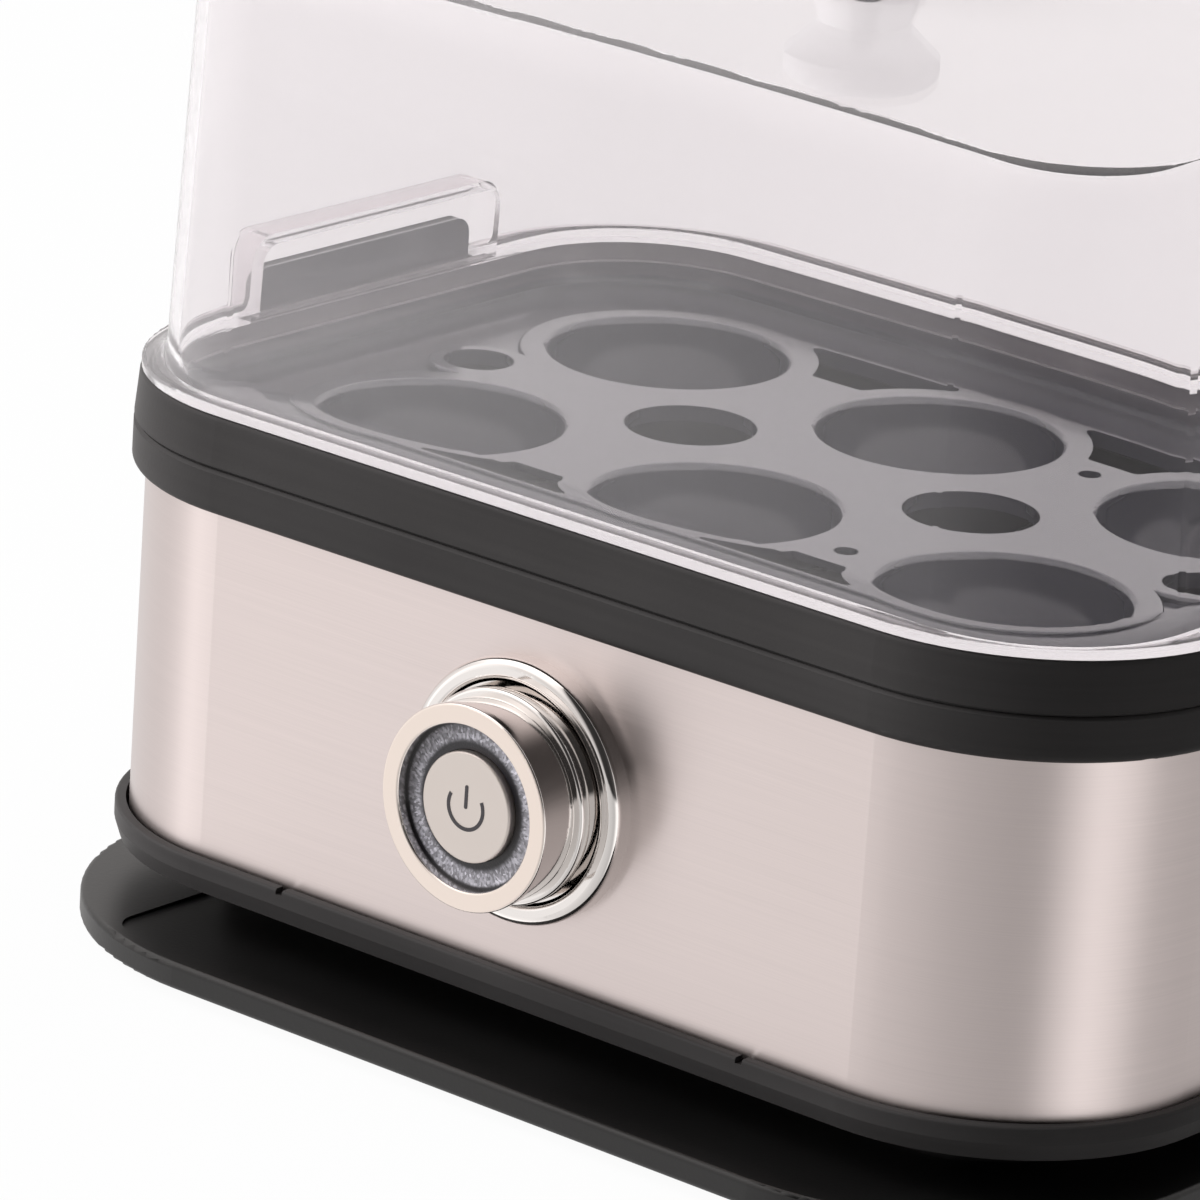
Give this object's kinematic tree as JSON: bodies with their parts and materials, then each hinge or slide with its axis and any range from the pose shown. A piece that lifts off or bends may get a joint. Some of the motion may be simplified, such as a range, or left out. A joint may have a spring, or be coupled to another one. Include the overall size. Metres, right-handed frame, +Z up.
{
  "type": "electric egg cooker",
  "caption": "Free-standing electric egg cooker: brushed steel body on a black foot plate, pierced egg tray with cups under a clear domed lid, and a round push button in front.",
  "frame": {"origin": "centre of the footprint, on the table under the feet", "axes": "+X along the front to the right, -Y to the front with the button, +Z up"},
  "size_m": [0.204, 0.1644, 0.1779],
  "materials": {
    "black_plastic": "satin",
    "tray_plastic": "semi-gloss",
    "brushed_steel": "horizontal brushing",
    "clear_lid": "clear",
    "chrome": "polished",
    "satin_metal": "satin",
    "smoky_ring": "frosted",
    "rubber": "matte",
    "silicone": "matte",
    "coated_pan": "non-stick coating",
    "bare_metal": "satin",
    "plated_steel": "zinc plated",
    "white_plastic": "satin",
    "board": "solder mask"
  },
  "bodies": {
    "base": {"base_plate": "black_plastic", "rubber_feet": "rubber", "base_screws": "plated_steel", "plinth": "black_plastic", "cord_gland": "rubber", "bottom_cover": "black_plastic", "body_screws": "plated_steel", "steel_sleeve": "brushed_steel", "collar": "black_plastic", "heating_pan": "coated_pan", "pan_seal": "silicone", "heating_element": "bare_metal", "thermostat": "bare_metal", "thermostat_bracket": "plated_steel", "bracket_nuts": "plated_steel", "thermal_fuse": "bare_metal", "terminal_block": "white_plastic", "switch_bracket": "plated_steel", "power_switch": "black_plastic", "indicator_board": "board", "button_bezel": "chrome", "bezel_nut": "bare_metal"},
    "tray": {"egg_tray": "tray_plastic"},
    "lid": {"lid_shell": "clear_lid", "lid_knob": "clear_lid", "knob_washer": "silicone", "knob_screw": "plated_steel"},
    "button": {"button_barrel": "chrome", "light_ring": "smoky_ring", "button_cap": "satin_metal", "button_plunger": "white_plastic"}
  },
  "joints": [
    {"name": "tray_lift", "type": "slide", "parent": "base", "child": "tray", "axis": [0, 0, 1], "range_m": [0, 0.12]},
    {"name": "lid_lift", "type": "slide", "parent": "tray", "child": "lid", "axis": [0, 0, 1], "range_m": [0, 0.15]},
    {"name": "button_press", "type": "slide", "parent": "base", "child": "button", "axis": [0, 1, 0], "range_m": [0, 0.003], "stiffness_N_per_m": 400}
  ]
}
